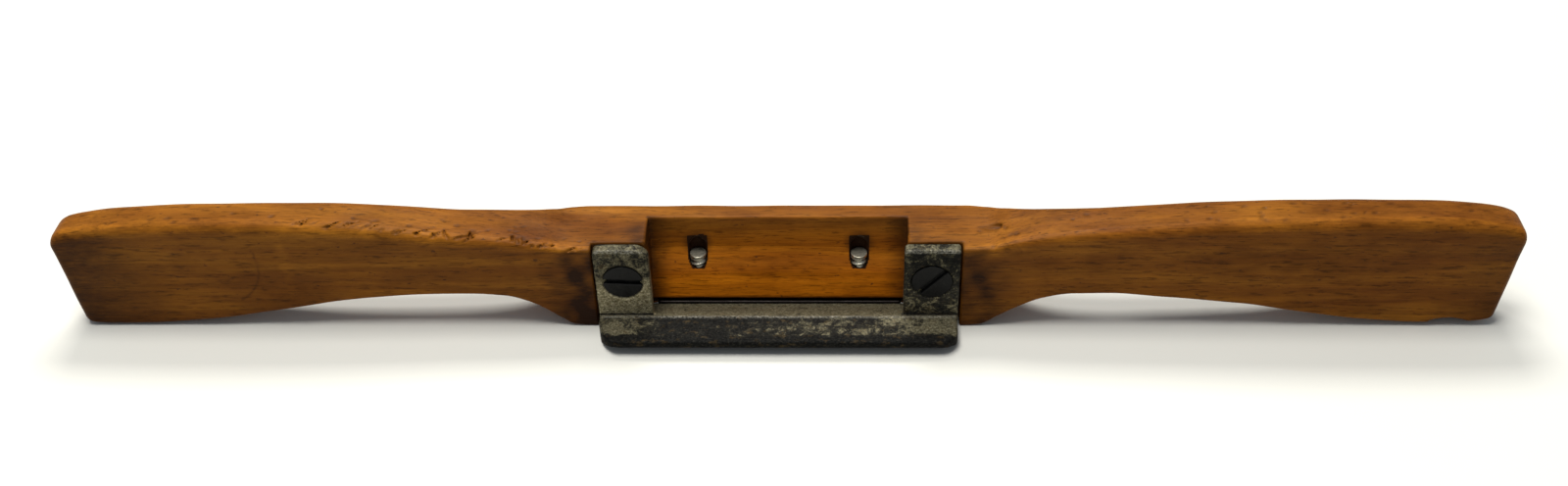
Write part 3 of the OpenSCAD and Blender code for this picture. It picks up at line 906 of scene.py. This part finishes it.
def brass_material(name, light, deep):
    """Old brass or bronze with patches of tarnish, and black grime and painted shade where it is
    marked.
    """
    s = Shader(name)
    tarnish = s.noise((0.35, 0.5, 0.5), detail=6, roughness=0.65)
    fine = s.noise((2.0, 2.4, 2.4), detail=3, offset=6)
    colour = s.ramp(tarnish, (0.35, deep), (0.62, light))
    colour = s.mix(0.6, colour, s.ramp(fine, (0.35, 0.65), (0.65, 1.25)), "MULTIPLY")
    colour = s.mix(s.marks()[0], colour, BRASS_DIRT_AND_SHADE)
    s.bumps((tarnish, 0.03), (fine, 0.02))
    return s.finish(colour, s.ramp(tarnish, (0.35, 0.48), (0.65, 0.3)), Metallic=0.85)


def floor_material():
    s = Shader("pale_floor")
    colour = s.ramp(s.noise((0.004, 0.004, 0.004), detail=2), *FLOOR)
    roughness = s.ramp(s.noise((0.01, 0.01, 0.01)), (0.3, 0.85), (0.7, 0.95))
    return s.finish(colour, roughness, Specular_IOR_Level=0.1)


# ---- pieces --------------------------------------------------------------

wood = wood_material()
steel = steel_material()
screw_steel = dark_screw_material()
plate_brass = brass_material("aged_brass", BRASS_PALE, BRASS_DEEP)
screw_bronze = brass_material("dull_bronze", BRONZE_PALE, BRONZE_DEEP)

margin = 1.0              # the grids reach this far past the pieces
stock_cell = 0.5
bore_spans = [(s * ADJUSTER_X - 3, s * ADJUSTER_X + 3) for s in (-1, 1)]
lug_spans = [(LUG_INNER - 1, LUG_OUTER + 1), (-LUG_OUTER - 1, 1 - LUG_INNER)]
piece("stock_wood", dented_stock,
      (steps(-HALF_LENGTH - margin, HALF_LENGTH + margin, stock_cell, bore_spans),
       steps(FRONT - margin, BACK + margin, 0.4),
       steps(-margin, STOCK_HIGH[2] + margin, 0.4)),
      wood, "stock", "stock", stock_marks)
piece("cutter_steel", cutter_field,
      (steps(-LUG_OUTER - margin, LUG_OUTER + margin, 0.5, lug_spans, 0.3),
       steps(CUTTER_LOW[1] - margin, CUTTER_HIGH[1] + margin, 0.3),
       steps(-margin, CUTTER_HIGH[2] + margin, 0.3)),
      steel, "stock", "cutter", cutter_marks)
piece("throat_plate_brass", plate_field,
      (steps(PLATE_LOW[0] - margin, PLATE_HIGH[0] + margin, 0.6, bore_spans, 0.3),
       steps(PLATE_LOW[1] - margin, PLATE_HIGH[1] + margin, 0.3),
       steps(-margin, PLATE_HIGH[2] + margin, 0.25)),
      plate_brass, "throat_plate", "throat_plate", plate_marks)
for side, word in ((-1, "left"), (1, "right")):
    reach = LUG_HEAD_RADIUS + 0.5
    centre = side * LUG_SCREW_X
    piece(f"{word}_lug_screw_steel", lug_screw_field(side),
          (steps(centre - reach, centre + reach, 0.2),
           steps(FRONT - 0.5, LUG_SCREW_HIGH[1] + 0.5, 0.2),
           steps(LUG_SCREW_Z - reach, LUG_SCREW_Z + reach, 0.2)),
          screw_steel, "stock", f"{word}_lug_screw")
    reach = ADJUSTER_HEAD_RADIUS + 0.4
    centre = side * ADJUSTER_X
    piece(f"{word}_adjusting_screw_bronze", adjuster_field(side),
          (steps(centre - reach, centre + reach, 0.14),
           steps(ADJUSTER_Y - reach, ADJUSTER_Y + reach, 0.14),
           steps(-0.4, ADJUSTER_TOP + 0.4, 0.11)),
          screw_bronze, f"{word}_adjusting_screw", f"{word}_adjusting_screw")


# ---- floor, light and camera ---------------------------------------------

LIGHT_COLOUR = (1.0, 0.985, 0.96)
LIGHT_TARGET = (0, 0, 0.015)
SENSOR_WIDTH = 36


def add_floor():
    mesh = bpy.data.meshes.new("floor")
    reach = 3.0
    corners = [(-reach, -reach, 0), (reach, -reach, 0), (reach, reach, 0), (-reach, reach, 0)]
    mesh.from_pydata(corners, [], [(0, 1, 2, 3)])
    mesh.materials.append(floor_material())
    obj = bpy.data.objects.new("floor", mesh)
    bpy.context.scene.collection.objects.link(obj)


def add_light(name, place, size, watts):
    """Rectangular light, aimed at the middle of the tool."""
    data = bpy.data.lights.new(name, "AREA")
    data.shape = "RECTANGLE"
    data.size, data.size_y = size
    data.energy = watts
    data.color = LIGHT_COLOUR
    obj = bpy.data.objects.new(name, data)
    obj.location = place
    aim = Vector(LIGHT_TARGET) - Vector(place)
    obj.rotation_euler = aim.to_track_quat("-Z", "Y").to_euler()
    bpy.context.scene.collection.objects.link(obj)


def add_world(colour, strength):
    world = bpy.data.worlds.new("room")
    world.use_nodes = True
    background = world.node_tree.nodes["Background"]
    background.inputs["Color"].default_value = (*colour, 1)
    background.inputs["Strength"].default_value = strength
    bpy.context.scene.world = world


def add_camera(focal_mm, elevation, azimuth, roll, distance, target):
    """Camera on a 36 mm wide sensor; azimuth 0 looks along +Y, angles are in degrees."""
    el, az, turn = (math.radians(v) for v in (elevation, azimuth, roll))
    forward = Vector((math.sin(az) * math.cos(el), math.cos(az) * math.cos(el), -math.sin(el)))
    level = Vector((math.cos(az), -math.sin(az), 0))
    up = level.cross(forward)
    right = level * math.cos(turn) + up * math.sin(turn)
    upward = up * math.cos(turn) - level * math.sin(turn)
    data = bpy.data.cameras.new("camera")
    data.lens = focal_mm
    data.sensor_width = SENSOR_WIDTH
    data.clip_start = 0.01
    obj = bpy.data.objects.new("camera", data)
    place = Vector(target) - forward * distance
    obj.matrix_world = Matrix((
        (right.x, upward.x, -forward.x, place.x),
        (right.y, upward.y, -forward.y, place.y),
        (right.z, upward.z, -forward.z, place.z),
        (0, 0, 0, 1),
    ))
    bpy.context.scene.collection.objects.link(obj)
    bpy.context.scene.camera = obj


add_floor()
add_world((0.82, 0.89, 1.0), 0.32)
add_light("overhead", (-0.12, -0.03, 0.9), (0.45, 0.3), 8.5)
add_light("behind", (-0.05, 0.48, 0.8), (0.4, 0.25), 7.5)
add_camera(focal_mm=37.53, elevation=40.09, azimuth=-2.76, roll=-1.85, distance=0.3849,
           target=(0.00184, 0.00015, 0.0232))

bpy.context.scene.view_settings.view_transform = "Standard"
bpy.context.view_layer.update()
